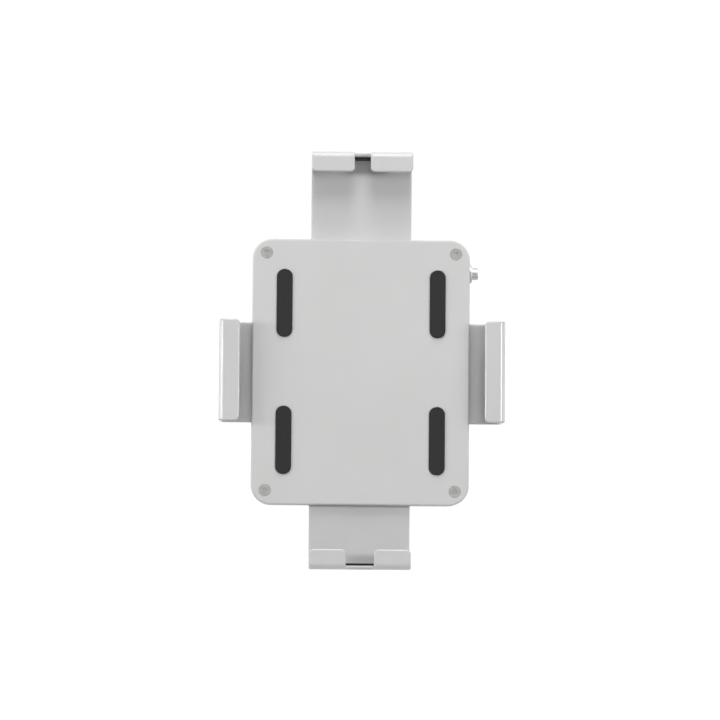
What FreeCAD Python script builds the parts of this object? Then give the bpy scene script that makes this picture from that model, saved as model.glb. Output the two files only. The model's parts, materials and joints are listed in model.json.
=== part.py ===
import FreeCAD, Part
import Sketcher
import os

# Tablet wall mount. Millimetres. +X right, +Z up, the wall lies in the plane Y = 0 and the
# mount stands out from it towards -Y. "Depth" below is the distance in front of the wall, -Y.
# The origin is the centre of the wall plate's back face, which is also the swivel's axis.

doc = FreeCAD.newDocument("TabletWallMount")
sheet = doc.addObject("Spreadsheet::Sheet", "Sizes")
sheet.Label = "Sizes"

VALUES = [
    # wall plate and pivot
    ("plate_side", 96.0), ("plate_thick", 2.0), ("plate_corner", 8.0),
    ("wall_hole_half", 37.5), ("wall_hole_rad", 2.75),
    ("stud_rad", 5.0), ("stud_head_rad", 6.8), ("stud_head_high", 1.8), ("stud_land", 0.4),
    ("stud_step", 12.6), ("thread_rad", 4.0), ("stud_end", 20.9),
    ("ring_rad", 22.0), ("ring_front", 9.4), ("friction_thick", 0.55),
    ("front_friction_rad", 18.0), ("spring_rad", 12.0), ("spring_high", 1.3), ("spring_thick", 0.8),
    ("pivot_washer_rad", 11.0), ("pivot_washer_thick", 1.5),
    ("pivot_nut_flats", 13.0), ("pivot_nut_high", 5.0),
    # housing
    ("house_half_x", 54.0), ("house_half_z", 66.0), ("house_corner", 10.0),
    ("house_wall", 2.3), ("shell_back", 8.0), ("shell_thick", 2.0), ("shell_hole_rad", 25.0),
    ("chassis_thick", 2.0), ("chassis_gap", 0.3), ("bush_rad", 7.0), ("bush_clear", 0.05),
    ("cover_back", 21.5), ("cover_thick", 2.0), ("cover_edge", 1.0), ("parting_edge", 0.3),
    ("rib_thick", 1.2), ("rib_deep", 2.0), ("rib_gap", 0.2), ("rib_half", 38.0),
    ("pad_half_x", 38.0), ("pad_half_z", 34.0), ("pad_wide", 8.0), ("pad_long", 34.0),
    ("pad_sink", 0.4), ("pad_front", 24.5),
    # fasteners of the housing
    ("post_x", 47.0), ("post_z", 59.0), ("post_rad", 3.2), ("small_screw_rad", 1.5),
    ("small_hole_rad", 1.65), ("small_head_rad", 3.0), ("small_head_high", 1.5),
    ("cover_screw_end", 14.0), ("shell_screw_x", 36.0), ("shell_screw_z", 56.0),
    # arms, common
    ("sheet_thick", 2.0), ("arm_wide", 50.2), ("bend_outer", 3.0), ("bend_inner", 1.0),
    ("lip_front", 34.5), ("lip_corner", 2.2), ("edge_soft", 0.8), ("inner_corner", 3.0),
    ("mouth_gap", 0.3), ("level_side", 13.0), ("level_end", 15.5),
    # arms, where each claw stands (outer face of its wall) and how long its lip is
    ("left_out", 70.2), ("right_out", 71.2), ("top_out", 108.8), ("bottom_out", 97.8),
    ("left_lip", 10.3), ("right_lip", 10.2), ("top_lip", 10.2), ("bottom_lip", 10.0),
    ("side_inner", 16.5), ("end_inner", 19.0),
    ("top_gap", 7.85), ("bottom_gap", 13.8), ("gap_floor", 27.3), ("gap_corner", 1.7),
    # clamp screws and slots
    ("side_screw_x", 46.0), ("end_screw_z", 57.0), ("screw_apart", 14.0),
    ("screw_rad", 2.0), ("slot_rad", 2.3), ("washer_rad", 5.0), ("washer_thick", 0.8),
    ("washer_hole_rad", 2.1), ("slide_gap", 0.05), ("pan_rad", 4.2), ("pan_high", 2.5),
    ("screw_end", 10.2),
    ("side_travel_out", 22.5), ("side_travel_in", 3.0),
    ("end_travel_out", 27.2), ("end_travel_in", 3.4),
    # liners
    ("liner_thick", 1.1), ("liner_lip_thick", 0.5), ("liner_back", 20.0), ("liner_inset", 0.9),
    # lock
    ("lock_z", 50.0), ("lock_depth", 16.7), ("lock_rad", 4.0), ("lock_flange_rad", 4.8),
    ("lock_flange_thick", 1.2), ("lock_inner", 42.0), ("lock_end_thick", 2.0),
    ("lock_bore_rad", 3.1), ("lock_stem_hole_rad", 2.25),
    ("plunger_rad", 3.0), ("plunger_shoulder", 49.6), ("plunger_front", 58.4),
    ("stem_rad", 2.0), ("stem_inner", 41.0), ("bolt_tip", 25.85), ("bolt_thick", 1.5), ("bolt_high", 4.0),
    ("plug_rad", 2.0), ("plug_clear", 0.05), ("plug_back", 51.3), ("plug_front", 58.2),
    ("key_thick", 0.9), ("key_high", 2.8), ("key_deep", 4.0),
    ("clip_rad", 3.7), ("clip_thick", 0.7), ("clip_inner", 41.15),
    ("lock_nut_flats", 9.0), ("lock_nut_thick", 2.4),
    ("lock_spring_rad", 2.55), ("lock_spring_wire", 0.28), ("lock_spring_turns", 4.0),
    ("guide_inner", 28.5), ("guide_outer", 36.0), ("guide_thick", 2.0), ("guide_half", 4.5),
    ("guide_front", 20.5), ("guide_foot", 1.5), ("guide_gap", 0.3),
    ("notch_pitch", 3.4), ("notch_half", 1.05), ("notch_deep", 3.2),
]


class Dim:
    """A size with its number and the sheet expression that gives it."""

    def __init__(self, text, value):
        self.text = text
        self.value = float(value)

    @staticmethod
    def of(other):
        if isinstance(other, Dim):
            return other
        return Dim("(%.6g)" % other if other < 0 else "%.6g" % other, other)

    def _two(self, other, sign, value):
        return Dim("(%s %s %s)" % (self.text, sign, other.text), value)

    def __add__(self, other):
        other = Dim.of(other)
        return self._two(other, "+", self.value + other.value)

    def __radd__(self, other):
        return Dim.of(other) + self

    def __sub__(self, other):
        other = Dim.of(other)
        return self._two(other, "-", self.value - other.value)

    def __rsub__(self, other):
        return Dim.of(other) - self

    def __mul__(self, other):
        other = Dim.of(other)
        return self._two(other, "*", self.value * other.value)

    def __rmul__(self, other):
        return Dim.of(other) * self

    def __truediv__(self, other):
        other = Dim.of(other)
        return self._two(other, "/", self.value / other.value)

    def __neg__(self):
        return Dim("(0 - %s)" % self.text, -self.value)


class Sizes:
    pass


S = Sizes()
for row, (alias, value) in enumerate(VALUES, start=1):
    sheet.set("A%d" % row, alias)
    sheet.set("B%d" % row, "%g" % value)
    sheet.setAlias("B%d" % row, alias)
    setattr(S, alias, Dim("Sizes.%s" % alias, value))
doc.recompute()

V = FreeCAD.Vector
NODES = []


# ---------------------------------------------------------------- sketch helpers

def new_body(name, at=None):
    body = doc.addObject("PartDesign::Body", name)
    body.Label = name
    if at is not None:
        place(body, at)
    return body


def place(item, at):
    x, y, z = [Dim.of(v) for v in at]
    item.Placement = FreeCAD.Placement(V(x.value, y.value, z.value), FreeCAD.Rotation())
    item.setExpression("Placement.Base.x", x.text)
    item.setExpression("Placement.Base.y", y.text)
    item.setExpression("Placement.Base.z", z.text)


def new_sketch(body, role, offset=0.0):
    sk = body.newObject("Sketcher::SketchObject", body.Name + "_sketch")
    plane = [f for f in body.Origin.OriginFeatures if f.Role == role][0]
    sk.AttachmentSupport = [(plane, "")]
    sk.MapMode = "FlatFace"
    offset = Dim.of(offset)
    if offset.value != 0.0:
        sk.AttachmentOffset = FreeCAD.Placement(V(0, 0, offset.value), FreeCAD.Rotation())
        sk.setExpression("AttachmentOffset.Base.z", offset.text)
    return sk


def bind(sk, kind, geo, pos, dim):
    """One dimension of the sketch, bound to the sheet."""
    dim = Dim.of(dim)
    if pos is None:
        index = sk.addConstraint(Sketcher.Constraint(kind, geo, dim.value))
    else:
        index = sk.addConstraint(Sketcher.Constraint(kind, geo, pos, dim.value))
    if "Sizes." in dim.text:
        sk.setExpression("Constraints[%d]" % index, dim.text)


def polygon(sk, points):
    """A closed polygon whose corners are bound to the sheet one by one."""
    pts = [(Dim.of(a), Dim.of(b)) for a, b in points]
    n = len(pts)
    first = None
    for i in range(n):
        a, b = pts[i], pts[(i + 1) % n]
        g = sk.addGeometry(Part.LineSegment(V(a[0].value, a[1].value, 0), V(b[0].value, b[1].value, 0)), False)
        if first is None:
            first = g
    for i in range(n):
        sk.addConstraint(Sketcher.Constraint("Coincident", first + i, 2, first + (i + 1) % n, 1))
    for i in range(n):
        bind(sk, "DistanceX", first + i, 1, pts[i][0])
        bind(sk, "DistanceY", first + i, 1, pts[i][1])


def circle(sk, cx, cy, rad):
    cx, cy, rad = Dim.of(cx), Dim.of(cy), Dim.of(rad)
    g = sk.addGeometry(Part.Circle(V(cx.value, cy.value, 0), V(0, 0, 1), rad.value), False)
    bind(sk, "Radius", g, None, rad)
    bind(sk, "DistanceX", g, 3, cx)
    bind(sk, "DistanceY", g, 3, cy)


def obround(sk, a, b, rad, along):
    """A slot from centre a to centre b, which lie along x or along y."""
    ax, ay, bx, by, rad = Dim.of(a[0]), Dim.of(a[1]), Dim.of(b[0]), Dim.of(b[1]), Dim.of(rad)
    r = rad.value
    if along == "x":
        if ax.value > bx.value:
            ax, bx = bx, ax
        arc1 = Part.ArcOfCircle(Part.Circle(V(ax.value, ay.value, 0), V(0, 0, 1), r), 1.5707963268, 4.7123889804)
        arc2 = Part.ArcOfCircle(Part.Circle(V(bx.value, by.value, 0), V(0, 0, 1), r), -1.5707963268, 1.5707963268)
        l1 = Part.LineSegment(V(ax.value, ay.value - r, 0), V(bx.value, by.value - r, 0))
        l2 = Part.LineSegment(V(bx.value, by.value + r, 0), V(ax.value, ay.value + r, 0))
    else:
        if ay.value > by.value:
            ay, by = by, ay
        arc1 = Part.ArcOfCircle(Part.Circle(V(ax.value, ay.value, 0), V(0, 0, 1), r), 3.1415926536, 6.2831853072)
        arc2 = Part.ArcOfCircle(Part.Circle(V(bx.value, by.value, 0), V(0, 0, 1), r), 0.0, 3.1415926536)
        l1 = Part.LineSegment(V(ax.value + r, ay.value, 0), V(bx.value + r, by.value, 0))
        l2 = Part.LineSegment(V(bx.value - r, by.value, 0), V(ax.value - r, ay.value, 0))
    g1 = sk.addGeometry(arc1, False)
    g2 = sk.addGeometry(l1, False)
    g3 = sk.addGeometry(arc2, False)
    g4 = sk.addGeometry(l2, False)
    sk.addConstraint(Sketcher.Constraint("Tangent", g1, 2, g2, 1))
    sk.addConstraint(Sketcher.Constraint("Tangent", g2, 2, g3, 1))
    sk.addConstraint(Sketcher.Constraint("Tangent", g3, 2, g4, 1))
    sk.addConstraint(Sketcher.Constraint("Tangent", g4, 2, g1, 1))
    sk.addConstraint(Sketcher.Constraint("Equal", g1, g3))
    bind(sk, "Radius", g1, None, rad)
    bind(sk, "DistanceX", g1, 3, ax)
    bind(sk, "DistanceY", g1, 3, ay)
    bind(sk, "DistanceX", g3, 3, bx)
    bind(sk, "DistanceY", g3, 3, by)


def round_box(sk, x0, x1, y0, y1, rad):
    """A rectangle with round corners; the four corner centres are bound."""
    x0, x1, y0, y1, rad = Dim.of(x0), Dim.of(x1), Dim.of(y0), Dim.of(y1), Dim.of(rad)
    r = rad.value
    half = 1.5707963268
    corners = [(x1 - rad, y0 + rad, -half), (x1 - rad, y1 - rad, 0.0),
               (x0 + rad, y1 - rad, half), (x0 + rad, y0 + rad, 2 * half)]
    arcs = []
    for cx, cy, start in corners:
        arcs.append(sk.addGeometry(Part.ArcOfCircle(Part.Circle(V(cx.value, cy.value, 0), V(0, 0, 1), r),
                                                    start, start + half), False))
    ends = [(V(x1.value, y0.value + r, 0), V(x1.value, y1.value - r, 0)),
            (V(x1.value - r, y1.value, 0), V(x0.value + r, y1.value, 0)),
            (V(x0.value, y1.value - r, 0), V(x0.value, y0.value + r, 0)),
            (V(x0.value + r, y0.value, 0), V(x1.value - r, y0.value, 0))]
    lines = [sk.addGeometry(Part.LineSegment(a, b), False) for a, b in ends]
    for i in range(4):
        sk.addConstraint(Sketcher.Constraint("Tangent", arcs[i], 2, lines[i], 1))
        sk.addConstraint(Sketcher.Constraint("Tangent", lines[i], 2, arcs[(i + 1) % 4], 1))
    bind(sk, "Radius", arcs[0], None, rad)
    for i in (1, 2, 3):
        sk.addConstraint(Sketcher.Constraint("Equal", arcs[0], arcs[i]))
    bind(sk, "DistanceX", arcs[0], 3, corners[0][0])
    bind(sk, "DistanceY", arcs[0], 3, corners[0][1])
    bind(sk, "DistanceX", arcs[2], 3, corners[2][0])
    bind(sk, "DistanceY", arcs[2], 3, corners[2][1])
    sk.addConstraint(Sketcher.Constraint("Vertical", lines[0]))
    sk.addConstraint(Sketcher.Constraint("Horizontal", lines[1]))


# ---------------------------------------------------------------- feature helpers

def pad(body, sk, length, back=False, both=False):
    f = body.newObject("PartDesign::Pad", body.Name + "_pad")
    f.Profile = sk
    length = Dim.of(length)
    f.Length = length.value
    f.setExpression("Length", length.text)
    if both:
        f.SideType = "Symmetric"
    f.Reversed = back
    doc.recompute()
    return f


def pocket(body, sk, length, forward=False, both=False):
    """Cuts against the sketch's normal, or along it when forward is set."""
    before = body.Shape.Volume
    f = body.newObject("PartDesign::Pocket", body.Name + "_pocket")
    f.Profile = sk
    length = Dim.of(length)
    f.Length = length.value
    f.setExpression("Length", length.text)
    if both:
        f.SideType = "Symmetric"
    f.Reversed = forward
    doc.recompute()
    if not body.Shape.Volume < before - 1e-4:
        raise RuntimeError("pocket %s cuts nothing" % f.Name)
    return f


def turned(body, profile):
    """A turned piece about the body's own Y axis. Profile: (radius, depth) pairs."""
    sk = new_sketch(body, "XY_Plane")
    polygon(sk, [(r, -Dim.of(d)) for r, d in profile])
    f = body.newObject("PartDesign::Revolution", body.Name + "_turn")
    f.Profile = sk
    f.ReferenceAxis = (sk, ["V_Axis"])
    f.Angle = 360.0
    doc.recompute()
    return f


def turned_x(body, profile):
    """A turned piece about the body's own X axis. Profile: (x, radius) pairs."""
    sk = new_sketch(body, "XY_Plane")
    polygon(sk, profile)
    f = body.newObject("PartDesign::Revolution", body.Name + "_turn")
    f.Profile = sk
    f.ReferenceAxis = (sk, ["H_Axis"])
    f.Angle = 360.0
    doc.recompute()
    return f


def edges_where(shape, test):
    names = []
    for i, e in enumerate(shape.Edges, start=1):
        if e.Length < 1e-6:
            continue
        mid = e.valueAt(0.5 * (e.FirstParameter + e.LastParameter))
        if test(e, mid):
            names.append("Edge%d" % i)
    return names


def along(e, axis):
    """True for a straight edge along x, y or z."""
    if e.Curve.TypeId != "Part::GeomLine":
        return False
    d = e.Curve.Direction
    return abs(getattr(d, axis)) > 0.999


def dress(body, kind, base, names, size):
    f = body.newObject("PartDesign::" + kind, body.Name + "_" + kind.lower())
    f.Base = (base, names)
    size = Dim.of(size)
    prop = "Radius" if kind == "Fillet" else "Size"
    setattr(f, prop, size.value)
    f.setExpression(prop, size.text)
    doc.recompute()
    return f


def near(a, b, tol=0.02):
    return abs(float(a) - float(b)) < tol


def keep(item, label):
    item.Label = label
    NODES.append((label, item))


def four(master, label):
    """The same piece in the four corners, as one group."""
    items = [master]
    for i, normal in enumerate([V(1, 0, 0), V(0, 0, 1)]):
        m = doc.addObject("Part::Mirroring", "%s_mirror_%d" % (label, i + 1))
        m.Source = master
        m.Base = V(0, 0, 0)
        m.Normal = normal
        items.append(m)
    m = doc.addObject("Part::Mirroring", "%s_mirror_3" % label)
    m.Source = items[1]
    m.Base = V(0, 0, 0)
    m.Normal = V(0, 0, 1)
    items.append(m)
    group = doc.addObject("Part::Compound", label + "_group")
    group.Links = items
    doc.recompute()
    keep(group, label)
    return group


def cross_recess(body, front, half, thin, deep):
    """The cross for a screwdriver, cut from the head's front."""
    sk = new_sketch(body, "XZ_Plane", front)
    a, b = Dim.of(half), Dim.of(thin)
    polygon(sk, [(a, -b), (a, b), (b, b), (b, a), (-b, a), (-b, b),
                 (-a, b), (-a, -b), (-b, -b), (-b, -a), (b, -a), (b, -b)])
    pocket(body, sk, deep)


# ---------------------------------------------------------------- wall side

# Wall plate: flat, round corners, four wall holes, countersunk from behind for the stud.
body = new_body("wall_plate")
sk = new_sketch(body, "XZ_Plane")
half = S.plate_side / 2
round_box(sk, -half, half, -half, half, S.plate_corner)
circle(sk, 0, 0, S.stud_rad)
for sx in (1, -1):
    for sz in (1, -1):
        circle(sk, S.wall_hole_half * sx, S.wall_hole_half * sz, S.wall_hole_rad)
f = pad(body, sk, S.plate_thick)
names = edges_where(f.Shape, lambda e, m: e.Curve.TypeId == "Part::GeomCircle"
                    and near(e.Curve.Radius, S.stud_rad.value) and near(e.Curve.Center.y, 0))
f = dress(body, "Chamfer", f, names, S.stud_head_high)
names = edges_where(f.Shape, lambda e, m: near(m.y, -S.plate_thick.value)
                    and max(abs(m.x), abs(m.z)) > half.value - S.plate_corner.value)
f = dress(body, "Fillet", f, names, 0.5)
keep(body, "wall_plate")

# Stud: countersunk head flush with the plate's back, plain shank, threaded end. The head's rim has
# a short straight land, which leaves a fine groove round it.
body = new_body("pivot_stud")
turned(body, [(0, 0), (S.stud_head_rad - S.stud_land, 0), (S.stud_head_rad - S.stud_land, S.stud_land),
              (S.stud_rad, S.stud_head_high), (S.stud_rad, S.stud_step),
              (S.thread_rad, S.stud_step), (S.thread_rad, S.stud_end - 0.6),
              (S.thread_rad - 0.6, S.stud_end), (0, S.stud_end)])
keep(body, "pivot_stud")

# Ring: holds the housing off the wall and carries the friction washer.
body = new_body("hub_ring")
turned(body, [(S.stud_rad, S.plate_thick), (S.ring_rad, S.plate_thick), (S.ring_rad, S.ring_front - 0.5),
              (S.ring_rad - 0.5, S.ring_front), (S.stud_rad, S.ring_front)])
keep(body, "hub_ring")

body = new_body("rear_friction_washer")
turned(body, [(S.stud_rad + 0.1, S.ring_front), (S.ring_rad - 0.5, S.ring_front),
              (S.ring_rad - 0.5, S.ring_front + S.friction_thick),
              (S.stud_rad + 0.1, S.ring_front + S.friction_thick)])
keep(body, "rear_friction_washer")

chassis_back = S.shell_back + S.shell_thick
chassis_front = chassis_back + S.chassis_thick

body = new_body("front_friction_washer")
turned(body, [(S.stud_rad + 0.1, chassis_front + 0.05), (S.front_friction_rad, chassis_front + 0.05),
              (S.front_friction_rad, chassis_front + 0.05 + S.friction_thick),
              (S.stud_rad + 0.1, chassis_front + 0.05 + S.friction_thick)])
keep(body, "front_friction_washer")

# Disc spring: a shallow cone, its wide rim on the friction washer.
spring_base = chassis_front + 0.05 + S.friction_thick
body = new_body("disc_spring")
turned(body, [(S.spring_rad, spring_base), (S.spring_rad, spring_base + S.spring_thick),
              (S.thread_rad + 0.2, spring_base + S.spring_high),
              (S.thread_rad + 0.2, spring_base + S.spring_high - S.spring_thick)])
keep(body, "disc_spring")

washer_base = spring_base + S.spring_high
body = new_body("pivot_washer")
turned(body, [(S.thread_rad + 0.2, washer_base), (S.pivot_washer_rad - 0.3, washer_base),
              (S.pivot_washer_rad, washer_base + 0.3),
              (S.pivot_washer_rad, washer_base + S.pivot_washer_thick - 0.3),
              (S.pivot_washer_rad - 0.3, washer_base + S.pivot_washer_thick),
              (S.thread_rad + 0.2, washer_base + S.pivot_washer_thick)])
keep(body, "pivot_washer")

# Lock nut: a hexagon with its corners turned down, and the round collar of its locking insert.
nut_base = washer_base + S.pivot_washer_thick
body = new_body("pivot_nut")
corner = S.pivot_nut_flats / 2 / 0.8660254
turned(body, [(S.thread_rad, nut_base), (corner - 0.9, nut_base), (corner, nut_base + 0.5),
              (corner, nut_base + S.pivot_nut_high - 1.9), (corner - 0.9, nut_base + S.pivot_nut_high - 1.4),
              (S.pivot_nut_flats / 2 - 0.9, nut_base + S.pivot_nut_high - 1.4),
              (S.pivot_nut_flats / 2 - 1.3, nut_base + S.pivot_nut_high),
              (S.thread_rad, nut_base + S.pivot_nut_high)])
sk = new_sketch(body, "XZ_Plane", nut_base + S.pivot_nut_high)
flat = S.pivot_nut_flats / 2
circle(sk, 0, 0, corner + 3)
polygon(sk, [(flat, -flat * 0.57735027), (flat, flat * 0.57735027), (0, corner),
             (-flat, flat * 0.57735027), (-flat, -flat * 0.57735027), (0, -corner)])
pocket(body, sk, S.pivot_nut_high)
keep(body, "pivot_nut")

# ---------------------------------------------------------------- housing

hx, hz = S.house_half_x, S.house_half_z
inner_x, inner_z = hx - S.house_wall, hz - S.house_wall
inner_corner = S.house_corner - S.house_wall


def outer_edge(e, m, depth):
    """An edge of the housing's outline at the given depth."""
    return near(-m.y, depth.value) and (near(abs(m.x), hx.value) or near(abs(m.z), hz.value)
                                        or (e.Curve.TypeId == "Part::GeomCircle"
                                            and near(e.Curve.Radius, S.house_corner.value)))


# Rear shell: a moulded tray, open to the front, with a window in each side for an arm.
body = new_body("rear_shell")
sk = new_sketch(body, "XZ_Plane", S.shell_back)
round_box(sk, -hx, hx, -hz, hz, S.house_corner)
f = pad(body, sk, S.cover_back - S.shell_back)
sk = new_sketch(body, "XZ_Plane", S.cover_back)
round_box(sk, -inner_x, inner_x, -inner_z, inner_z, inner_corner)
pocket(body, sk, S.cover_back - chassis_back)
sk = new_sketch(body, "XZ_Plane", chassis_back)
circle(sk, 0, 0, S.shell_hole_rad)
for sx in (1, -1):
    for sz in (1, -1):
        circle(sk, S.shell_screw_x * sx, S.shell_screw_z * sz, S.small_hole_rad)
pocket(body, sk, S.shell_thick)
mouth = S.arm_wide / 2 + S.mouth_gap
sk = new_sketch(body, "YZ_Plane")
polygon(sk, [(-(S.level_side - S.mouth_gap), -mouth),
             (-(S.level_side - S.mouth_gap), mouth),
             (-(S.level_side + S.sheet_thick + S.mouth_gap), mouth),
             (-(S.level_side + S.sheet_thick + S.mouth_gap), -mouth)])
pocket(body, sk, hx * 2 + 10, both=True)
sk = new_sketch(body, "XY_Plane")
polygon(sk, [(-mouth, -(S.level_end - S.mouth_gap)),
             (mouth, -(S.level_end - S.mouth_gap)),
             (mouth, -(S.level_end + S.sheet_thick + S.mouth_gap)),
             (-mouth, -(S.level_end + S.sheet_thick + S.mouth_gap))])
pocket(body, sk, hz * 2 + 10, both=True)
sk = new_sketch(body, "YZ_Plane", inner_x - 1.5)
circle(sk, -S.lock_depth, S.lock_z, S.lock_rad + 0.1)
f = pocket(body, sk, S.house_wall + 4, forward=True)
names = edges_where(f.Shape, lambda e, m: near(m.y, -S.shell_back.value)
                    and e.Curve.TypeId == "Part::GeomCircle" and near(e.Curve.Radius, S.small_hole_rad.value))
f = dress(body, "Chamfer", f, names, S.small_head_rad - S.small_hole_rad + 0.1)
names = edges_where(f.Shape, lambda e, m: outer_edge(e, m, S.shell_back))
f = dress(body, "Fillet", f, names, 1.5)
names = edges_where(f.Shape, lambda e, m: outer_edge(e, m, S.cover_back))
f = dress(body, "Chamfer", f, names, S.parting_edge)
keep(body, "rear_shell")

# Chassis plate: steel, with the tapped holes for every screw.
body = new_body("chassis_plate")
sk = new_sketch(body, "XZ_Plane", chassis_back)
cx, cz = inner_x - S.chassis_gap, inner_z - S.chassis_gap
round_box(sk, -cx, cx, -cz, cz, inner_corner - S.chassis_gap)
circle(sk, 0, 0, S.bush_rad)
for sx in (1, -1):
    for sz in (1, -1):
        circle(sk, S.side_screw_x * sx, S.screw_apart * sz, S.screw_rad)
        circle(sk, S.screw_apart * sx, S.end_screw_z * sz, S.screw_rad)
        circle(sk, S.shell_screw_x * sx, S.shell_screw_z * sz, S.small_screw_rad)
        circle(sk, S.post_x * sx, S.post_z * sz, S.small_screw_rad)
pad(body, sk, S.chassis_thick)
# four lightening windows
sk = new_sketch(body, "XZ_Plane", chassis_front)
for sx in (1, -1):
    for sz in (1, -1):
        round_box(sk, (25.0 if sx > 0 else -40.0), (40.0 if sx > 0 else -25.0),
                  (24.0 if sz > 0 else -40.0), (40.0 if sz > 0 else -24.0), 3.0)
pocket(body, sk, S.chassis_thick)
keep(body, "chassis_plate")

body = new_body("pivot_bush")
turned(body, [(S.stud_rad + S.bush_clear, chassis_back), (S.bush_rad, chassis_back),
              (S.bush_rad, chassis_front), (S.stud_rad + S.bush_clear, chassis_front)])
keep(body, "pivot_bush")

# Shell screws, countersunk from behind into the chassis.
body = new_body("shell_screw", (S.shell_screw_x, 0, S.shell_screw_z))
head = S.small_head_rad
turned(body, [(0, S.shell_back), (head, S.shell_back),
              (S.small_screw_rad, S.shell_back + S.small_head_high),
              (S.small_screw_rad, chassis_front - 0.3),
              (S.small_screw_rad - 0.3, chassis_front), (0, chassis_front)])
sk = new_sketch(body, "XZ_Plane", S.shell_back)
polygon(sk, [(1.5, -0.35), (1.5, 0.35), (0.35, 0.35), (0.35, 1.5), (-0.35, 1.5), (-0.35, 0.35),
             (-1.5, 0.35), (-1.5, -0.35), (-0.35, -0.35), (-0.35, -1.5), (0.35, -1.5), (0.35, -0.35)])
pocket(body, sk, 1.1, forward=True)
four(body, "shell_screws")

# Threaded posts on the chassis for the cover's screws.
body = new_body("cover_post", (S.post_x, 0, S.post_z))
turned(body, [(S.small_screw_rad, chassis_front), (S.post_rad, chassis_front),
              (S.post_rad, S.cover_back - 0.3), (S.post_rad - 0.3, S.cover_back),
              (S.small_screw_rad, S.cover_back)])
four(body, "cover_posts")

cover_front = S.cover_back + S.cover_thick
body = new_body("cover_screw", (S.post_x, 0, S.post_z))
turned(body, [(0, cover_front), (head, cover_front),
              (S.small_screw_rad, cover_front - S.small_head_high),
              (S.small_screw_rad, S.cover_screw_end + 0.4),
              (S.small_screw_rad - 0.4, S.cover_screw_end), (0, S.cover_screw_end)])
sk = new_sketch(body, "XZ_Plane", cover_front)
polygon(sk, [(1.25, -0.7216878), (1.25, 0.7216878), (0, 1.4433757),
             (-1.25, 0.7216878), (-1.25, -0.7216878), (0, -1.4433757)])
pocket(body, sk, 1.3)
four(body, "cover_screws")

# Front cover: moulded plate with a soft rim, locating ribs behind, and seats for the pads.
body = new_body("front_cover")
sk = new_sketch(body, "XZ_Plane", S.cover_back)
round_box(sk, -hx, hx, -hz, hz, S.house_corner)
for sx in (1, -1):
    for sz in (1, -1):
        circle(sk, S.post_x * sx, S.post_z * sz, S.small_hole_rad)
pad(body, sk, S.cover_thick)
rib_x, rib_z = inner_x - S.rib_gap, inner_z - S.rib_gap
sk = new_sketch(body, "XZ_Plane", S.cover_back)
for sign in (1, -1):
    a, b = (rib_x - S.rib_thick) * sign, rib_x * sign
    polygon(sk, [(a, -S.rib_half), (b, -S.rib_half), (b, S.rib_half), (a, S.rib_half)])
    a, b = (rib_z - S.rib_thick) * sign, rib_z * sign
    polygon(sk, [(-S.rib_half, a), (S.rib_half, a), (S.rib_half, b), (-S.rib_half, b)])
pad(body, sk, S.rib_deep, back=True)
sk = new_sketch(body, "XZ_Plane", cover_front)
for sx in (1, -1):
    for sz in (1, -1):
        mid_x, mid_z = S.pad_half_x * sx, S.pad_half_z * sz
        reach = S.pad_long / 2 - S.pad_wide / 2
        obround(sk, (mid_x, mid_z - reach), (mid_x, mid_z + reach), S.pad_wide / 2, "y")
f = pocket(body, sk, S.pad_sink)
names = edges_where(f.Shape, lambda e, m: near(m.y, -cover_front.value)
                    and e.Curve.TypeId == "Part::GeomCircle" and near(e.Curve.Radius, S.small_hole_rad.value))
f = dress(body, "Chamfer", f, names, S.small_head_rad - S.small_hole_rad + 0.1)
names = edges_where(f.Shape, lambda e, m: outer_edge(e, m, cover_front))
f = dress(body, "Fillet", f, names, S.cover_edge)
names = edges_where(f.Shape, lambda e, m: outer_edge(e, m, S.cover_back))
f = dress(body, "Chamfer", f, names, S.parting_edge)
keep(body, "front_cover")

# Rubber pads in their seats.
body = new_body("cover_pad", (S.pad_half_x, 0, S.pad_half_z))
sk = new_sketch(body, "XZ_Plane", cover_front - S.pad_sink)
obround(sk, (0, -reach), (0, reach), S.pad_wide / 2 - 0.1, "y")
f = pad(body, sk, S.pad_front - cover_front + S.pad_sink)
names = edges_where(f.Shape, lambda e, m: near(m.y, -S.pad_front.value))
dress(body, "Fillet", f, names, 0.4)
four(body, "cover_pads")


# ---------------------------------------------------------------- clamp screws

def clamp_set(prefix, at, under_back, under_front, level):
    """What sits under and over an arm at one screw: spacer or glide, washer, pan-head screw."""
    under = new_body(prefix + "_under", at)
    turned(under, [(S.washer_hole_rad, under_back), (S.washer_rad, under_back),
                   (S.washer_rad, under_front), (S.washer_hole_rad, under_front)])
    over = new_body(prefix + "_washer", at)
    base = level + S.sheet_thick + S.slide_gap
    turned(over, [(S.washer_hole_rad, base), (S.washer_rad, base), (S.washer_rad, base + S.washer_thick - 0.2),
                  (S.washer_rad - 0.2, base + S.washer_thick), (S.washer_hole_rad, base + S.washer_thick)])
    screw = new_body(prefix + "_screw", at)
    top = base + S.washer_thick
    turned(screw, [(0, S.screw_end), (S.screw_rad - 0.3, S.screw_end), (S.screw_rad, S.screw_end + 0.3),
                   (S.screw_rad, top), (S.pan_rad, top), (S.pan_rad, top + S.pan_high - 1.1),
                   (S.pan_rad - 0.35, top + S.pan_high - 0.45), (S.pan_rad - 1.2, top + S.pan_high),
                   (0, top + S.pan_high)])
    cross_recess(screw, top + S.pan_high, 2.0, 0.45, 1.5)
    return under, over, screw


under, over, screw = clamp_set("side", (S.side_screw_x, 0, S.screw_apart),
                               chassis_front, S.level_side - S.slide_gap, S.level_side)
four(under, "side_glides")
four(over, "side_washers")
four(screw, "side_arm_screws")
under, over, screw = clamp_set("end", (S.screw_apart, 0, S.end_screw_z),
                               chassis_front, S.level_end - S.slide_gap, S.level_end)
four(under, "end_spacers")
four(over, "end_washers")
four(screw, "end_arm_screws")


# ---------------------------------------------------------------- arms and liners

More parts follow.
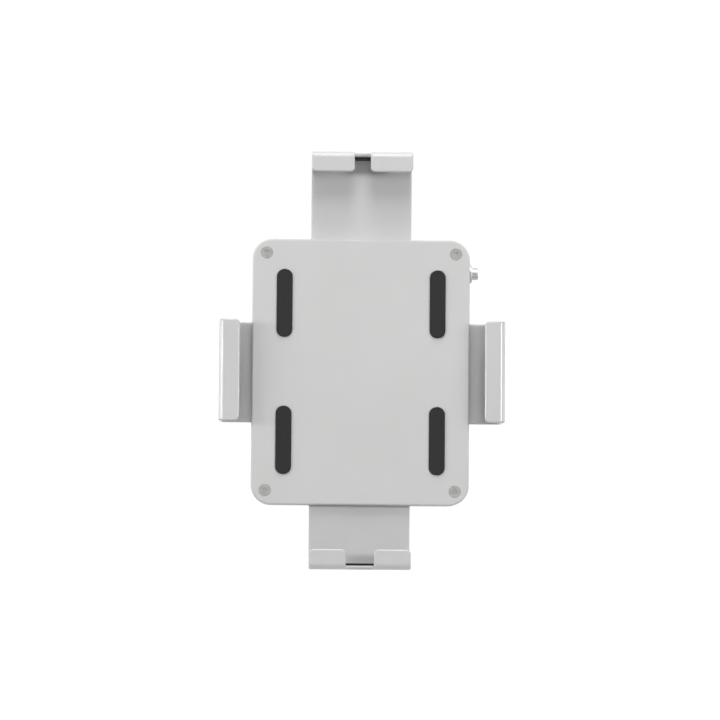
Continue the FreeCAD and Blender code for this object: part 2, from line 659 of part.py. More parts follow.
def sheet_profile(role, sign, pts):
    """(outward, depth) pairs to the sketch's own x and y."""
    if role == "side":
        return [(Dim.of(u) * sign, -Dim.of(d)) for u, d in pts]
    return [(-Dim.of(d), Dim.of(u) * sign) for u, d in pts]


def outward(role, sign, p):
    return p.x * sign if role == "side" else p.z * sign


def across(role, p):
    return p.z if role == "side" else p.x


def sharp(shape, e):
    """True where the two faces at an edge meet at about a right angle."""
    faces = [f for f in shape.Faces if any(e.isSame(g) for g in f.Edges)]
    if len(faces) != 2:
        return False
    mid = e.valueAt(0.5 * (e.FirstParameter + e.LastParameter))
    normals = []
    for f in faces:
        u, v = f.Surface.parameter(mid)
        normals.append(f.normalAt(u, v))
    return abs(normals[0].dot(normals[1])) < 0.2


def make_arm(name, role, sign, out, lip, level, inner, gap):
    """One claw: plate inside the housing, wall, and lip, folded from one sheet."""
    t = S.sheet_thick
    body = new_body(name)
    sk = new_sketch(body, "XY_Plane" if role == "side" else "YZ_Plane")
    pts = [(inner, level), (out, level), (out, S.lip_front), (out - lip, S.lip_front),
           (out - lip, S.lip_front - t), (out - t, S.lip_front - t), (out - t, level + t), (inner, level + t)]
    polygon(sk, sheet_profile(role, sign, pts))
    f = pad(body, sk, S.arm_wide, both=True)
    # bends
    line = "z" if role == "side" else "x"
    o, lv, fr = out.value, level.value, S.lip_front.value

    def at(u, d):
        return lambda e, m: along(e, line) and near(outward(role, sign, m), u) and near(-m.y, d)

    names = edges_where(f.Shape, at(o, lv)) + edges_where(f.Shape, at(o, fr))
    f = dress(body, "Fillet", f, names, S.bend_outer)
    names = (edges_where(f.Shape, at(o - t.value, lv + t.value))
             + edges_where(f.Shape, at(o - t.value, fr - t.value)))
    f = dress(body, "Fillet", f, names, S.bend_inner)
    # two slots for the clamp screws
    if role == "side":
        c1, c2 = S.side_screw_x - S.side_travel_out, S.side_screw_x + S.side_travel_in
    else:
        c1, c2 = S.end_screw_z - S.end_travel_out, S.end_screw_z + S.end_travel_in
    sk = new_sketch(body, "XZ_Plane", level + t)
    for side in (1, -1):
        w = S.screw_apart * side
        if role == "side":
            obround(sk, (c1 * sign, w), (c2 * sign, w), S.slot_rad, "x")
        else:
            obround(sk, (w, c1 * sign), (w, c2 * sign), S.slot_rad, "y")
    f = pocket(body, sk, t)
    # the finger gap, round the bend and into the wall
    if gap is not None:
        sk = new_sketch(body, "XY_Plane", (out + 2) * sign)
        round_box(sk, -gap / 2, gap / 2, -(S.lip_front + 6), -S.gap_floor, S.gap_corner)
        f = pocket(body, sk, lip + 4, forward=(sign < 0))
    # lip corners
    wide = S.arm_wide.value / 2
    lip_in = o - lip.value

    def lip_corner(e, m):
        if not along(e, "y") or not near(outward(role, sign, m), lip_in):
            return False
        a = abs(across(role, m))
        return near(a, wide) or (gap is not None and near(a, gap.value / 2))

    f = dress(body, "Fillet", f, edges_where(f.Shape, lip_corner), S.lip_corner)

    def plate_corner(e, m):
        return along(e, "y") and near(outward(role, sign, m), inner.value) and near(abs(across(role, m)), wide)

    f = dress(body, "Fillet", f, edges_where(f.Shape, plate_corner), S.inner_corner)
    return body, f


def notches(body):
    """Catch notches along the top arm's right edge, one for each lock position."""
    sk = new_sketch(body, "XZ_Plane", S.level_end + S.sheet_thick)
    edge = S.arm_wide / 2
    for k in range(-8, 2):
        mid = S.lock_z + S.notch_pitch * k
        polygon(sk, [(edge - S.notch_deep, mid - S.notch_half), (edge + 2, mid - S.notch_half),
                     (edge + 2, mid + S.notch_half), (edge - S.notch_deep, mid + S.notch_half)])
    return pocket(body, sk, S.sheet_thick)


def soften(body, role, f):
    """The coated sheet's cut edges are round, all along its outline and in the finger gap."""
    shape = f.Shape
    start = S.level_end.value + S.sheet_thick.value + 1.5
    wide = S.arm_wide.value / 2

    def test(e, m):
        return (-m.y > start or near(abs(across(role, m)), wide)) and sharp(shape, e)

    return dress(body, "Fillet", f, edges_where(shape, test), S.edge_soft)


def make_liner(name, role, sign, out, lip, gap):
    """Black rubber liner: a strip on the claw's wall that turns in under the lip."""
    t = S.sheet_thick
    body = new_body(name)
    wall_in = out - t
    lip_back = S.lip_front - t
    sk = new_sketch(body, "XY_Plane" if role == "side" else "YZ_Plane")
    pts = [(wall_in - S.liner_thick, S.liner_back), (wall_in, S.liner_back), (wall_in, lip_back),
           (out - lip + S.liner_inset, lip_back), (out - lip + S.liner_inset, lip_back - S.liner_lip_thick),
           (wall_in - S.liner_thick, lip_back - S.liner_lip_thick)]
    polygon(sk, sheet_profile(role, sign, pts))
    f = pad(body, sk, S.arm_wide - S.liner_inset * 2, both=True)
    line = "z" if role == "side" else "x"
    names = edges_where(f.Shape, lambda e, m: along(e, line)
                        and near(outward(role, sign, m), wall_in.value) and near(-m.y, lip_back.value))
    f = dress(body, "Fillet", f, names, S.bend_inner)
    if gap is not None:
        sk = new_sketch(body, "XY_Plane", (out + 2) * sign)
        cut = gap / 2 + S.liner_inset
        round_box(sk, -cut, cut, -(S.lip_front + 6), -(S.gap_floor - S.liner_inset), S.gap_corner)
        f = pocket(body, sk, lip + 4, forward=(sign < 0))
    wide = S.arm_wide.value / 2 - S.liner_inset.value
    lip_in = out.value - lip.value + S.liner_inset.value

    def corner(e, m):
        if not along(e, "y") or not near(outward(role, sign, m), lip_in):
            return False
        a = abs(across(role, m))
        return near(a, wide) or (gap is not None and near(a, cut.value))

    dress(body, "Fillet", f, edges_where(f.Shape, corner), S.lip_corner - 0.5)
    return body


ARMS = [
    ("left_arm", "left_liner", "side", -1, S.left_out, S.left_lip, S.level_side, S.side_inner, None),
    ("right_arm", "right_liner", "side", 1, S.right_out, S.right_lip, S.level_side, S.side_inner, None),
    ("top_arm", "top_liner", "end", 1, S.top_out, S.top_lip, S.level_end, S.end_inner, S.top_gap),
    ("bottom_arm", "bottom_liner", "end", -1, S.bottom_out, S.bottom_lip, S.level_end, S.end_inner, S.bottom_gap),
]
for name, liner, role, sign, out, lip, level, inner, gap in ARMS:
    body, f = make_arm(name, role, sign, out, lip, level, inner, gap)
    soften(body, role, f)
    if name == "top_arm":
        notches(body)
    keep(body, name)
    keep(make_liner(liner, role, sign, out, lip, gap), liner)

# ---------------------------------------------------------------- lock

axis_at = (0, -S.lock_depth, S.lock_z)

body = new_body("lock_body", axis_at)
lf = S.lock_flange_rad
turned_x(body, [(S.lock_inner, S.lock_stem_hole_rad), (S.lock_inner, S.lock_rad), (hx, S.lock_rad),
                (hx, lf), (hx + S.lock_flange_thick - 0.4, lf), (hx + S.lock_flange_thick, lf - 0.4),
                (hx + S.lock_flange_thick, S.lock_bore_rad),
                (S.lock_inner + S.lock_end_thick, S.lock_bore_rad),
                (S.lock_inner + S.lock_end_thick, S.lock_stem_hole_rad)])
keep(body, "lock_body")

# Flat nut inside the wall.
body = new_body("lock_nut", axis_at)
sk = new_sketch(body, "YZ_Plane", inner_x - 0.1)
flat = S.lock_nut_flats / 2
point = flat / 0.8660254
circle(sk, 0, 0, S.lock_rad)
polygon(sk, [(flat, -flat * 0.57735027), (flat, flat * 0.57735027), (0, point),
             (-flat, flat * 0.57735027), (-flat, -flat * 0.57735027), (0, -point)])
pad(body, sk, S.lock_nut_thick, back=True)
keep(body, "lock_nut")

# Plunger: head, stem and the flat bolt, one turned and milled piece.
body = new_body("lock_plunger", axis_at)
pr = S.plunger_rad
bore = S.plug_rad + S.plug_clear
turned_x(body, [(S.stem_inner, 0), (S.stem_inner, S.stem_rad), (S.plunger_shoulder, S.stem_rad),
                (S.plunger_shoulder, pr), (S.plunger_front - 0.4, pr), (S.plunger_front, pr - 0.4),
                (S.plunger_front, bore), (S.plug_back - 0.1, bore), (S.plug_back - 0.1, 0)])
sk = new_sketch(body, "YZ_Plane", S.stem_inner)
polygon(sk, [(-S.bolt_high / 2, -S.bolt_thick / 2), (S.bolt_high / 2, -S.bolt_thick / 2),
             (S.bolt_high / 2, S.bolt_thick / 2), (-S.bolt_high / 2, S.bolt_thick / 2)])
pad(body, sk, S.stem_inner - S.bolt_tip, back=True)
keep(body, "lock_plunger")

body = new_body("lock_clip", axis_at)
turned_x(body, [(S.clip_inner, S.stem_rad), (S.clip_inner, S.clip_rad),
                (S.clip_inner + S.clip_thick, S.clip_rad), (S.clip_inner + S.clip_thick, S.stem_rad)])
sk = new_sketch(body, "YZ_Plane", S.clip_inner + S.clip_thick)
polygon(sk, [(0, -1.4), (6, -2.4), (6, 2.4), (0, 1.4)])
pocket(body, sk, S.clip_thick)
keep(body, "lock_clip")

body = new_body("lock_plug", axis_at)
turned_x(body, [(S.plug_back, 0), (S.plug_back, S.plug_rad), (S.plug_front - 0.2, S.plug_rad),
                (S.plug_front, S.plug_rad - 0.2), (S.plug_front, 0)])
sk = new_sketch(body, "YZ_Plane", S.plug_front)
polygon(sk, [(-S.key_high / 2, -S.key_thick / 2), (S.key_high / 2, -S.key_thick / 2),
             (S.key_high / 2, S.key_thick / 2), (-S.key_high / 2, S.key_thick / 2)])
pocket(body, sk, S.key_deep)
keep(body, "lock_plug")

# Return spring round the stem, between the barrel's end wall and the plunger's shoulder.
spring_from = S.lock_inner + S.lock_end_thick + S.lock_spring_wire + 0.02
spring_to = S.plunger_shoulder - S.lock_spring_wire - 0.02
helix = doc.addObject("Part::Helix", "lock_spring_path")
helix.Radius = S.lock_spring_rad.value
helix.setExpression("Radius", S.lock_spring_rad.text)
helix.Height = (spring_to - spring_from).value
helix.setExpression("Height", (spring_to - spring_from).text)
helix.Pitch = ((spring_to - spring_from) / S.lock_spring_turns).value
helix.setExpression("Pitch", ((spring_to - spring_from) / S.lock_spring_turns).text)
wire = doc.addObject("Part::RegularPolygon", "lock_spring_section")
wire.Polygon = 12
wire.Circumradius = S.lock_spring_wire.value
wire.setExpression("Circumradius", S.lock_spring_wire.text)
wire.Placement = FreeCAD.Placement(V(S.lock_spring_rad.value, 0, 0), FreeCAD.Rotation(V(1, 0, 0), 90))
wire.setExpression("Placement.Base.x", S.lock_spring_rad.text)
doc.recompute()
sweep = doc.addObject("Part::Sweep", "lock_spring_coil")
sweep.Sections = [wire]
sweep.Spine = (helix, ["Edge1"])
sweep.Solid = True
sweep.Frenet = True
doc.recompute()
turn = FreeCAD.Rotation(V(0, 1, 0), 90)
sweep.Placement = FreeCAD.Placement(V(spring_from.value, -S.lock_depth.value, S.lock_z.value), turn)
sweep.setExpression("Placement.Base.x", spring_from.text)
sweep.setExpression("Placement.Base.y", (-S.lock_depth).text)
sweep.setExpression("Placement.Base.z", S.lock_z.text)
doc.recompute()
keep(sweep, "lock_spring")

# Guide for the bolt: a folded foot and upright on the chassis, with a window.
body = new_body("bolt_guide")
sk = new_sketch(body, "XY_Plane", S.lock_z)
polygon(sk, [(S.guide_inner, -chassis_front), (S.guide_outer, -chassis_front),
             (S.guide_outer, -(chassis_front + S.guide_foot)),
             (S.guide_inner + S.guide_thick, -(chassis_front + S.guide_foot)),
             (S.guide_inner + S.guide_thick, -S.guide_front), (S.guide_inner, -S.guide_front)])
pad(body, sk, S.guide_half * 2, both=True)
sk = new_sketch(body, "YZ_Plane", S.guide_inner)
low, high = S.lock_depth - S.bolt_high / 2 - S.guide_gap, S.lock_depth + S.bolt_high / 2 + S.guide_gap
zl, zh = S.lock_z - S.bolt_thick / 2 - S.guide_gap, S.lock_z + S.bolt_thick / 2 + S.guide_gap
polygon(sk, [(-low, zl), (-low, zh), (-high, zh), (-high, zl)])
pocket(body, sk, S.guide_thick + 0.5, forward=True)
keep(body, "bolt_guide")

# ---------------------------------------------------------------- checks and files

doc.recompute()
problems = []
for item in doc.Objects:
    if "Invalid" in item.State or "Error" in item.State:
        problems.append("%s is %s" % (item.Label, item.State))
EXPECTED = {"shell_screws": 4, "cover_posts": 4, "cover_screws": 4, "cover_pads": 4, "side_glides": 4,
            "side_washers": 4, "side_arm_screws": 4, "end_spacers": 4, "end_washers": 4, "end_arm_screws": 4}
for label, item in NODES:
    shape = item.Shape
    if shape.isNull() or not shape.isValid():
        problems.append("%s has no valid shape" % label)
        continue
    if len(shape.Solids) != EXPECTED.get(label, 1):
        problems.append("%s has %d solids" % (label, len(shape.Solids)))
if problems:
    raise RuntimeError("; ".join(problems))

os.makedirs("parts", exist_ok=True)
for label, item in NODES:
    item.Shape.exportStep("parts/%s.step" % label)
    box = item.Shape.BoundBox
    print("%-24s %9.1f mm3  x %7.2f..%7.2f  y %7.2f..%7.2f  z %7.2f..%7.2f"
          % (label, item.Shape.Volume, box.XMin, box.XMax, box.YMin, box.YMax, box.ZMin, box.ZMax))
print(len(NODES), "nodes")
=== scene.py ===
import json
import math

import bpy
from mathutils import Matrix, Vector

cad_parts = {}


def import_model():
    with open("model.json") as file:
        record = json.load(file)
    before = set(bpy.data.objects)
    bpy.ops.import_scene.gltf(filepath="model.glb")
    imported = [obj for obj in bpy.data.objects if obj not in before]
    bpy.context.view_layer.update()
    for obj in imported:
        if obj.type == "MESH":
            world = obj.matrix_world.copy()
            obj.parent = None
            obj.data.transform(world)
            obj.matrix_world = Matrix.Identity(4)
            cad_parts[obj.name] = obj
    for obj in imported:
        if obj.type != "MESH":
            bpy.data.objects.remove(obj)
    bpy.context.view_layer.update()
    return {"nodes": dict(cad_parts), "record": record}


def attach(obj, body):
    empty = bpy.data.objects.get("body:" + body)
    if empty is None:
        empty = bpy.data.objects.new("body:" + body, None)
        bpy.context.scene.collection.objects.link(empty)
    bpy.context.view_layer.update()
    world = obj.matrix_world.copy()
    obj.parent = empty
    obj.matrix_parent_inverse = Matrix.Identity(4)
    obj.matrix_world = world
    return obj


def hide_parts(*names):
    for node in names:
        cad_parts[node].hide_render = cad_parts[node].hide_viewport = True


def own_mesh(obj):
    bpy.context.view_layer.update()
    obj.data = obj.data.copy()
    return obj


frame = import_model()
NODES = frame["nodes"]

scene = bpy.context.scene
scene.view_settings.view_transform = "Standard"
scene.view_settings.look = "None"
scene.view_settings.exposure = 0.0
scene.view_settings.gamma = 1.0


# ------------------------------------------------------------------ camera
# Fitted to the claws' edges: a little below and a little left of the mount's centre, 1.57 m away.
AZ, EL, ROLL, DIST, FOCAL_PX = -1.677, -3.982, 0.441, 1.5708, 3185.5
TARGET = Vector((-0.00062, -0.032, 0.00535))


def make_camera():
    a, e, r = math.radians(AZ), math.radians(EL), math.radians(ROLL)
    back = Vector((math.sin(a) * math.cos(e), -math.cos(a) * math.cos(e), math.sin(e)))
    right = Vector((math.cos(a), math.sin(a), 0.0))
    up = back.cross(right)
    if up.z < 0:
        up = -up
    rr = right * math.cos(r) + up * math.sin(r)
    uu = up * math.cos(r) - right * math.sin(r)
    data = bpy.data.cameras.new("photo_camera")
    data.sensor_fit = "HORIZONTAL"
    data.sensor_width = 36.0
    data.lens = FOCAL_PX * 36.0 / 720.0
    data.clip_start = 0.05
    data.clip_end = 50.0
    cam = bpy.data.objects.new("photo_camera", data)
    scene.collection.objects.link(cam)
    rot = Matrix((rr, uu, back)).transposed().to_4x4()
    cam.matrix_world = Matrix.Translation(TARGET + back * DIST) @ rot
    scene.camera = cam


make_camera()


# ------------------------------------------------------------------ material helpers

def new_material(name):
    m = bpy.data.materials.new(name)
    m.use_nodes = True
    nt = m.node_tree
    for n in list(nt.nodes):
        nt.nodes.remove(n)
    out = nt.nodes.new("ShaderNodeOutputMaterial")
    bsdf = nt.nodes.new("ShaderNodeBsdfPrincipled")
    nt.links.new(bsdf.outputs["BSDF"], out.inputs["Surface"])
    coord = nt.nodes.new("ShaderNodeTexCoord")
    return m, nt, bsdf, coord.outputs["Object"]


def scaled(nt, vec, scale):
    mp = nt.nodes.new("ShaderNodeMapping")
    mp.inputs["Scale"].default_value = scale
    nt.links.new(vec, mp.inputs["Vector"])
    return mp.outputs["Vector"]


def noise(nt, vec, scale, detail=2.0, rough=0.5, distort=0.0):
    n = nt.nodes.new("ShaderNodeTexNoise")
    n.inputs["Scale"].default_value = scale
    n.inputs["Detail"].default_value = detail
    n.inputs["Roughness"].default_value = rough
    n.inputs["Distortion"].default_value = distort
    nt.links.new(vec, n.inputs["Vector"])
    return n.outputs["Fac"]


def voronoi(nt, vec, scale, feature="F1"):
    n = nt.nodes.new("ShaderNodeTexVoronoi")
    n.feature = feature
    n.inputs["Scale"].default_value = scale
    nt.links.new(vec, n.inputs["Vector"])
    return n.outputs["Distance"]


def remap(nt, fac, lo, hi, a, b):
    n = nt.nodes.new("ShaderNodeMapRange")
    n.inputs["From Min"].default_value = lo
    n.inputs["From Max"].default_value = hi
    n.inputs["To Min"].default_value = a
    n.inputs["To Max"].default_value = b
    nt.links.new(fac, n.inputs["Value"])
    return n.outputs["Result"]


def ramp(nt, fac, stops):
    n = nt.nodes.new("ShaderNodeValToRGB")
    cr = n.color_ramp
    while len(cr.elements) < len(stops):
        cr.elements.new(0.5)
    for el, (pos, col) in zip(cr.elements, stops):
        el.position = pos
        el.color = (col[0], col[1], col[2], 1.0)
    nt.links.new(fac, n.inputs["Fac"])
    return n.outputs["Color"]


def bump(nt, height, strength, distance, under=None):
    n = nt.nodes.new("ShaderNodeBump")
    n.inputs["Strength"].default_value = strength
    n.inputs["Distance"].default_value = distance
    nt.links.new(height, n.inputs["Height"])
    if under is not None:
        nt.links.new(under, n.inputs["Normal"])
    return n.outputs["Normal"]


def add(nt, a, b, wa=1.0, wb=1.0):
    m1 = nt.nodes.new("ShaderNodeMath"); m1.operation = "MULTIPLY"
    nt.links.new(a, m1.inputs[0]); m1.inputs[1].default_value = wa
    m2 = nt.nodes.new("ShaderNodeMath"); m2.operation = "MULTIPLY_ADD"
    nt.links.new(b, m2.inputs[0]); m2.inputs[1].default_value = wb
    nt.links.new(m1.outputs[0], m2.inputs[2])
    return m2.outputs[0]


# ------------------------------------------------------------------ materials

def powder_coat():
    """Smooth satin-gloss white powder coat: faint orange peel, a little pooling in tone."""
    m, nt, b, co = new_material("white_powder_coat")
    tone = noise(nt, co, 45.0, 4.0, 0.6)
    nt.links.new(ramp(nt, tone, [(0.30, (0.744, 0.744, 0.746)), (0.70, (0.776, 0.776, 0.775))]), b.inputs["Base Color"])
    peel = noise(nt, co, 900.0, 2.5, 0.55)
    grain = noise(nt, co, 3800.0, 2.0, 0.6)
    nt.links.new(remap(nt, add(nt, noise(nt, co, 260.0, 3.0), grain, 0.7, 0.3), 0.3, 0.7, 0.11, 0.16), b.inputs["Roughness"])
    nt.links.new(bump(nt, add(nt, peel, grain, 1.0, 0.25), 0.12, 0.00004), b.inputs["Normal"])
    b.inputs["IOR"].default_value = 1.5
    return m


def moulded_white():
    """White moulded shell with a fine spark-eroded texture."""
    m, nt, b, co = new_material("white_plastic")
    tone = noise(nt, co, 28.0, 3.0, 0.55)
    nt.links.new(ramp(nt, tone, [(0.30, (0.748, 0.748, 0.743)), (0.70, (0.774, 0.774, 0.770))]), b.inputs["Base Color"])
    spark = voronoi(nt, co, 2600.0)
    fine = noise(nt, co, 5200.0, 2.0, 0.6)
    nt.links.new(remap(nt, fine, 0.3, 0.7, 0.46, 0.58), b.inputs["Roughness"])
    nt.links.new(bump(nt, add(nt, spark, fine, 0.6, 0.5), 0.35, 0.00005), b.inputs["Normal"])
    b.inputs["IOR"].default_value = 1.52
    b.inputs["Subsurface Weight"].default_value = 0.03
    b.inputs["Subsurface Radius"].default_value = (0.001, 0.001, 0.001)
    return m


def natural_nylon():
    m, nt, b, co = new_material("white_nylon")
    tone = noise(nt, co, 300.0, 3.0, 0.5)
    nt.links.new(ramp(nt, tone, [(0.3, (0.76, 0.75, 0.70)), (0.7, (0.83, 0.82, 0.77))]), b.inputs["Base Color"])
    nt.links.new(remap(nt, noise(nt, co, 1500.0, 2.0), 0.3, 0.7, 0.38, 0.5), b.inputs["Roughness"])
    nt.links.new(bump(nt, noise(nt, co, 1800.0, 2.0), 0.25, 0.00004), b.inputs["Normal"])
    b.inputs["Subsurface Weight"].default_value = 0.2
    b.inputs["Subsurface Radius"].default_value = (0.0015, 0.0014, 0.001)
    return m


def black_rubber():
    """Matt black rubber with a dusty bloom in its pores."""
    m, nt, b, co = new_material("black_rubber")
    cloud = noise(nt, co, 140.0, 5.0, 0.65)
    nt.links.new(ramp(nt, cloud, [(0.30, (0.010, 0.010, 0.010)), (0.62, (0.017, 0.017, 0.017)),
                                  (0.80, (0.030, 0.030, 0.030))]), b.inputs["Base Color"])
    pore = voronoi(nt, co, 2400.0)
    nt.links.new(remap(nt, cloud, 0.3, 0.7, 0.62, 0.80), b.inputs["Roughness"])
    nt.links.new(bump(nt, add(nt, pore, noise(nt, co, 4200.0, 2.0), 0.7, 0.4), 0.45, 0.00008), b.inputs["Normal"])
    b.inputs["Specular IOR Level"].default_value = 0.35
    return m


def zinc_steel():
    """Bright zinc plate over rolled steel: faint rolling lines and cloudy passivation."""
    m, nt, b, co = new_material("zinc_steel")
    cloud = noise(nt, co, 150.0, 5.0, 0.62, 0.4)
    nt.links.new(ramp(nt, cloud, [(0.25, (0.48, 0.49, 0.51)), (0.50, (0.54, 0.545, 0.555)),
                                  (0.75, (0.58, 0.58, 0.57))]), b.inputs["Base Color"])
    b.inputs["Metallic"].default_value = 1.0
    rolled = noise(nt, scaled(nt, co, (60.0, 60.0, 2400.0)), 1.0, 3.0, 0.6)
    nt.links.new(remap(nt, add(nt, cloud, rolled, 0.3, 0.7), 0.3, 0.7, 0.30, 0.42), b.inputs["Roughness"])
    nt.links.new(bump(nt, add(nt, rolled, noise(nt, co, 1500.0, 2.0), 0.8, 0.4), 0.25, 0.00003), b.inputs["Normal"])
    return m


def plated_screw():
    """Nickel-plated screws: bright, with small handling marks."""
    m, nt, b, co = new_material("steel_screws")
    cloud = noise(nt, co, 420.0, 4.0, 0.6)
    nt.links.new(ramp(nt, cloud, [(0.3, (0.34, 0.335, 0.325)), (0.7, (0.46, 0.455, 0.445))]), b.inputs["Base Color"])
    b.inputs["Metallic"].default_value = 1.0
    marks = noise(nt, co, 2600.0, 3.0, 0.7)
    nt.links.new(remap(nt, marks, 0.3, 0.75, 0.20, 0.36), b.inputs["Roughness"])
    nt.links.new(bump(nt, marks, 0.22, 0.00003), b.inputs["Normal"])
    return m


def spring_steel():
    m, nt, b, co = new_material("spring_steel")
    cloud = noise(nt, co, 520.0, 4.0, 0.6)
    nt.links.new(ramp(nt, cloud, [(0.3, (0.36, 0.36, 0.37)), (0.7, (0.50, 0.50, 0.51))]), b.inputs["Base Color"])
    b.inputs["Metallic"].default_value = 1.0
    nt.links.new(remap(nt, noise(nt, co, 2400.0, 3.0, 0.7), 0.3, 0.75, 0.22, 0.38), b.inputs["Roughness"])
    nt.links.new(bump(nt, noise(nt, co, 3600.0, 2.0), 0.2, 0.00002), b.inputs["Normal"])
    return m


def friction_fibre():
    """Pressed friction fibre: brown, speckled, matt."""
    m, nt, b, co = new_material("friction_fibre")
    speck = voronoi(nt, co, 1600.0)
    base = noise(nt, co, 500.0, 5.0, 0.7)
    nt.links.new(ramp(nt, add(nt, base, speck, 0.8, 0.35), [(0.35, (0.10, 0.055, 0.035)), (0.55, (0.26, 0.14, 0.085)),
                                                            (0.80, (0.42, 0.30, 0.20))]), b.inputs["Base Color"])
    nt.links.new(remap(nt, base, 0.3, 0.7, 0.75, 0.92), b.inputs["Roughness"])
    nt.links.new(bump(nt, add(nt, base, speck, 0.6, 0.6), 0.5, 0.0001), b.inputs["Normal"])
    return m


def turned_brass(name, lo, hi, rough):
    m, nt, b, co = new_material(name)
    cloud = noise(nt, co, 380.0, 4.0, 0.6)
    nt.links.new(ramp(nt, cloud, [(0.3, lo), (0.7, hi)]), b.inputs["Base Color"])
    b.inputs["Metallic"].default_value = 1.0
    rings = noise(nt, scaled(nt, co, (4200.0, 900.0, 900.0)), 1.0, 3.0, 0.65)
    nt.links.new(remap(nt, rings, 0.3, 0.7, rough, rough + 0.14), b.inputs["Roughness"])
    nt.links.new(bump(nt, rings, 0.25, 0.00003), b.inputs["Normal"])
    return m


def lock_chrome():
    """Satin chrome lock barrel with faint turning lines and finger haze."""
    m, nt, b, co = new_material("lock_chrome")
    haze = noise(nt, co, 260.0, 5.0, 0.6)
    nt.links.new(ramp(nt, haze, [(0.3, (0.34, 0.345, 0.355)), (0.7, (0.43, 0.435, 0.445))]), b.inputs["Base Color"])
    b.inputs["Metallic"].default_value = 1.0
    lines = noise(nt, scaled(nt, co, (5200.0, 700.0, 700.0)), 1.0, 2.0, 0.6)
    nt.links.new(remap(nt, add(nt, haze, lines, 0.7, 0.3), 0.3, 0.7, 0.26, 0.36), b.inputs["Roughness"])
    nt.links.new(bump(nt, lines, 0.12, 0.00002), b.inputs["Normal"])
    return m


MATERIALS = {
    "white_powder_coat": powder_coat(),
    "white_plastic": moulded_white(),
    "white_nylon": natural_nylon(),
    "black_rubber": black_rubber(),
    "zinc_steel": zinc_steel(),
    "steel_screws": plated_screw(),
    "spring_steel": spring_steel(),
    "friction_fibre": friction_fibre(),
    "brass_bush": turned_brass("brass_bush", (0.62, 0.45, 0.20), (0.76, 0.58, 0.30), 0.26),
    "lock_chrome": lock_chrome(),
    "lock_brass": turned_brass("lock_brass", (0.50, 0.39, 0.20), (0.64, 0.52, 0.30), 0.26),
}
SLOT_OF = {s["node"]: s["material_slot"] for s in frame["record"]["subparts"]}
for node, obj in NODES.items():
    mat = MATERIALS[SLOT_OF[node]]
    if not obj.material_slots:
        obj.data.materials.append(mat)
    for ms in obj.material_slots:
        ms.material = mat


# ------------------------------------------------------------------ return spring

def return_spring():
    """The lock's spring in round wire."""
    coil, wire, first, last, turns = 0.00255, 0.00028, 0.0443, 0.0493, 4.0
    axis_y, axis_z = -0.0167, 0.050
    steps, sides = 192, 16
    verts, faces = [], []
    for i in range(steps + 1):
        t = i / steps
        a = 2.0 * math.pi * turns * t
        out = Vector((0.0, math.sin(a), -math.cos(a)))
        centre = Vector((first + (last - first) * t, axis_y, axis_z)) + out * coil
        along = Vector(((last - first) / (2.0 * math.pi * turns), coil * math.cos(a), coil * math.sin(a))).normalized()
        side = along.cross(out).normalized()
        for k in range(sides):
            b = 2.0 * math.pi * k / sides
            verts.append(centre + (out * math.cos(b) + side * math.sin(b)) * wire)
    for i in range(steps):
        for k in range(sides):
            p, q = i * sides + k, i * sides + (k + 1) % sides
            faces.append((p, q, q + sides, p + sides))
    faces.append(tuple(range(sides - 1, -1, -1)))
    faces.append(tuple(steps * sides + k for k in range(sides)))
    me = bpy.data.meshes.new("return_spring")
    me.from_pydata([tuple(v) for v in verts], [], faces)
    me.validate()
    for f in me.polygons:
        f.use_smooth = len(f.vertices) == 4
    obj = bpy.data.objects.new("return_spring", me)
    scene.collection.objects.link(obj)
    me.materials.append(MATERIALS["spring_steel"])
    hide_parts("lock_spring")
    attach(obj, "holder")
    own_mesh(obj)


return_spring()


# ------------------------------------------------------------------ light and floor

def world():
    """White studio: the camera sees white, gloss mirrors a paler room, and the softboxes do the lighting."""
    w = bpy.data.worlds.new("white_studio")
    scene.world = w
    w.use_nodes = True
    nt = w.node_tree
    for n in list(nt.nodes):
        nt.nodes.remove(n)
    out = nt.nodes.new("ShaderNodeOutputWorld")
    seen = nt.nodes.new("ShaderNodeBackground")
    seen.inputs["Color"].default_value = (1.0, 1.0, 1.0, 1.0)
    seen.inputs["Strength"].default_value = 1.05
    room = nt.nodes.new("ShaderNodeBackground")
    room.inputs["Color"].default_value = (1.0, 1.0, 1.0, 1.0)
    path = nt.nodes.new("ShaderNodeLightPath")
    soft = nt.nodes.new("ShaderNodeMath")
    soft.operation = "MULTIPLY"
    soft.inputs[1].default_value = 0.21
    nt.links.new(path.outputs["Is Diffuse Ray"], soft.inputs[0])
    both = nt.nodes.new("ShaderNodeMath")
    both.operation = "ADD"
    nt.links.new(path.outputs["Is Glossy Ray"], both.inputs[0])
    nt.links.new(soft.outputs[0], both.inputs[1])
    nt.links.new(both.outputs[0], room.inputs["Strength"])
    mix = nt.nodes.new("ShaderNodeMixShader")
    nt.links.new(path.outputs["Is Camera Ray"], mix.inputs["Fac"])
    nt.links.new(room.outputs[0], mix.inputs[1])
    nt.links.new(seen.outputs[0], mix.inputs[2])
    nt.links.new(mix.outputs[0], out.inputs["Surface"])


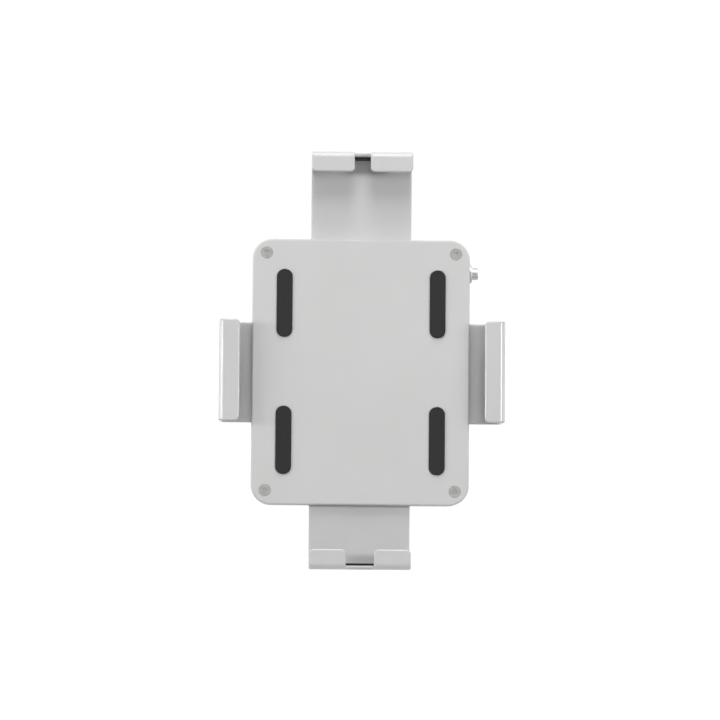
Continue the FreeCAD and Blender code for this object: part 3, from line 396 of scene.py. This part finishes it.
def softbox(name, az, el, dist, size, radiance):
    """A rectangular softbox that faces the mount; az to the right of the viewer, el up, in degrees."""
    a, e = math.radians(az), math.radians(el)
    aim = Vector((0.0, -0.03, 0.0))
    at = aim + Vector((math.sin(a) * math.cos(e), -math.cos(a) * math.cos(e), math.sin(e))) * dist
    data = bpy.data.lights.new(name, "AREA")
    data.shape = "RECTANGLE"
    data.size, data.size_y = size
    data.energy = radiance * math.pi * size[0] * size[1]
    obj = bpy.data.objects.new(name, data)
    scene.collection.objects.link(obj)
    obj.location = at
    obj.rotation_euler = (aim - at).to_track_quat("-Z", "Y").to_euler()
    obj.visible_camera = False
    return obj


world()
for az, radiance in ((-48.0, 14.4), (-58.0, 13.7), (-68.0, 10.6), (-78.0, 2.3), (-88.0, 4.5), (-98.0, 4.5),
                     (34.0, 10.2), (42.0, 13.7), (50.0, 9.5), (60.0, 2.2), (90.0, 2.6), (100.0, 1.6)):
    softbox("strip_%d" % az, az, 3.8, 1.3, (0.22, 0.15), radiance)
softbox("left_side_box", -103.0, 8.0, 1.3, (0.50, 1.20), 1.3)
softbox("right_side_box", 103.0, 8.0, 1.3, (0.50, 1.20), 1.3)
softbox("top_front_box", 0.0, 41.0, 1.3, (0.40, 0.42), 5.8)
softbox("top_box", 0.0, 68.0, 1.3, (0.40, 0.62), 6.3)
softbox("top_back_box", 180.0, 65.0, 1.3, (1.20, 0.80), 1.0)
softbox("back_left_box", -145.0, 12.0, 1.5, (0.90, 1.10), 1.1)
softbox("back_right_box", 145.0, 12.0, 1.5, (0.90, 1.10), 1.1)
softbox("below_box", 0.0, -38.0, 1.05, (1.00, 0.50), 0.3)
softbox("under_box", 180.0, -78.0, 0.70, (0.90, 0.40), 0.9)


def floor():
    import bmesh
    me = bpy.data.meshes.new("floor")
    bm = bmesh.new()
    bmesh.ops.create_grid(bm, x_segments=2, y_segments=2, size=6.0)
    bm.to_mesh(me)
    bm.free()
    obj = bpy.data.objects.new("floor", me)
    scene.collection.objects.link(obj)
    obj.location = (0.0, -0.2, -0.75)
    m, nt, b, co = new_material("floor_paint")
    tone = noise(nt, co, 3.0, 3.0)
    nt.links.new(ramp(nt, tone, [(0.3, (0.50, 0.50, 0.50)), (0.7, (0.53, 0.53, 0.53))]), b.inputs["Base Color"])
    nt.links.new(remap(nt, tone, 0.3, 0.7, 0.6, 0.7), b.inputs["Roughness"])
    b.inputs["Emission Color"].default_value = (1.0, 1.0, 1.0, 1.0)
    b.inputs["Emission Strength"].default_value = 0.62
    me.materials.append(m)
    obj.visible_diffuse = False


floor()
